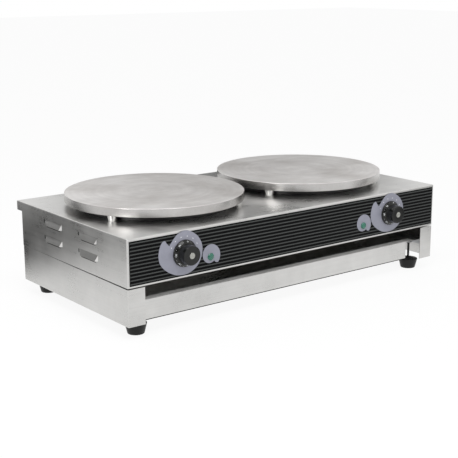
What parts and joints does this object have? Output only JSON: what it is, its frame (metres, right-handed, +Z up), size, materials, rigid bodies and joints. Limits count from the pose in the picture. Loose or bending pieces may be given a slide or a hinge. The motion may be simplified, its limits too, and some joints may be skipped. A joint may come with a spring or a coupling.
{
  "type": "electric crepe maker",
  "caption": "Countertop electric crepe maker: round cast plates side by side on a stainless housing, with thermostat knobs, signal lamps, a sliding drawer and screwed feet.",
  "frame": {"origin": "on the supporting surface, under the middle of the overall box, knobs and rear overhang included", "axes": "+X to the right seen from the front, +Y towards the back, +Z up"},
  "size_m": [0.889, 0.494, 0.24],
  "materials": {
    "stainless": "fine brushed stainless sheet",
    "galvanised": "dull zinc-coated sheet",
    "zinc": "zinc-plated steel",
    "bright_post": "turned bright steel",
    "machined_plate": "cast iron with a fine machined cooking face",
    "black_enamel": "black heat-resistant enamel",
    "element_sheath": "dark oxidised sheath",
    "fibre_board": "ceramic fibre board",
    "black_panel": "black satin panel with ribs",
    "dial_grey": "satin grey dial plate",
    "black_gloss": "glossy black phenolic",
    "bright_cap": "bright metal disc",
    "green_lens": "green translucent lens",
    "black_plastic": "matt black nylon",
    "white_plastic": "white nylon",
    "copper": "copper bulb and capillary",
    "black_rubber": "black moulded rubber"
  },
  "bodies": {
    "machine": {"base_rear_panel": "stainless", "base_screws": "zinc", "base_side_left": "stainless", "base_side_right": "stainless", "bottom_cover": "stainless", "cable_gland": "black_plastic", "control_fascia": "black_panel", "cooking_plate_left": "machined_plate", "cooking_plate_right": "machined_plate", "dial_plate_left": "dial_grey", "dial_plate_right": "dial_grey", "drawer_rail_left": "galvanised", "drawer_rail_right": "galvanised", "element_strap_left": "galvanised", "element_strap_right": "galvanised", "foot_nuts": "zinc", "heater_pan_left": "black_enamel", "heater_pan_right": "black_enamel", "heating_element_left": "element_sheath", "heating_element_right": "element_sheath", "insulation_left": "fibre_board", "insulation_right": "fibre_board", "lamp_body_left": "white_plastic", "lamp_body_right": "white_plastic", "lamp_lens_left": "green_lens", "lamp_lens_right": "green_lens", "lamp_plate_left": "dial_grey", "lamp_plate_right": "dial_grey", "plate_bolts": "zinc", "plate_posts_left": "bright_post", "plate_posts_right": "bright_post", "rear_panel": "stainless", "rear_screws": "zinc", "sensor_left": "copper", "sensor_right": "copper", "strap_screws": "zinc", "terminal_block": "white_plastic", "thermostat_left": "galvanised", "thermostat_right": "galvanised", "upper_housing": "stainless"},
    "drawer": {"drawer_front": "stainless", "drawer_pan": "stainless"},
    "knob_left": {"knob_left": "black_gloss", "knob_cap_left": "bright_cap", "thermostat_shaft_left": "zinc"},
    "knob_right": {"knob_right": "black_gloss", "knob_cap_right": "bright_cap", "thermostat_shaft_right": "zinc"},
    "foot_front_left": {"foot_pad_front_left": "black_rubber", "foot_stud_front_left": "zinc"},
    "foot_front_right": {"foot_pad_front_right": "black_rubber", "foot_stud_front_right": "zinc"},
    "foot_rear_left": {"foot_pad_rear_left": "black_rubber", "foot_stud_rear_left": "zinc"},
    "foot_rear_right": {"foot_pad_rear_right": "black_rubber", "foot_stud_rear_right": "zinc"}
  },
  "joints": [
    {"name": "drawer_slide", "type": "slide", "parent": "machine", "child": "drawer", "axis": [0, -1, 0], "range_m": [0, 0.3]},
    {"name": "knob_left_turn", "type": "hinge", "parent": "machine", "child": "knob_left", "pos_m": [-0.305, -0.2335, 0.1595], "axis": [0, 1, 0], "range_deg": [0, 280]},
    {"name": "knob_right_turn", "type": "hinge", "parent": "machine", "child": "knob_right", "pos_m": [0.288, -0.2335, 0.1595], "axis": [0, 1, 0], "range_deg": [0, 280]},
    {"name": "foot_front_left_screw", "type": "hinge", "parent": "machine", "child": "foot_front_left", "pos_m": [-0.4, -0.18, 0.03], "axis": [0, 0, -1], "range_deg": [0, 1440]},
    {"name": "foot_front_right_screw", "type": "hinge", "parent": "machine", "child": "foot_front_right", "pos_m": [0.4, -0.18, 0.03], "axis": [0, 0, -1], "range_deg": [0, 1440]},
    {"name": "foot_rear_left_screw", "type": "hinge", "parent": "machine", "child": "foot_rear_left", "pos_m": [-0.4, 0.186, 0.03], "axis": [0, 0, -1], "range_deg": [0, 1440]},
    {"name": "foot_rear_right_screw", "type": "hinge", "parent": "machine", "child": "foot_rear_right", "pos_m": [0.4, 0.186, 0.03], "axis": [0, 0, -1], "range_deg": [0, 1440]}
  ]
}
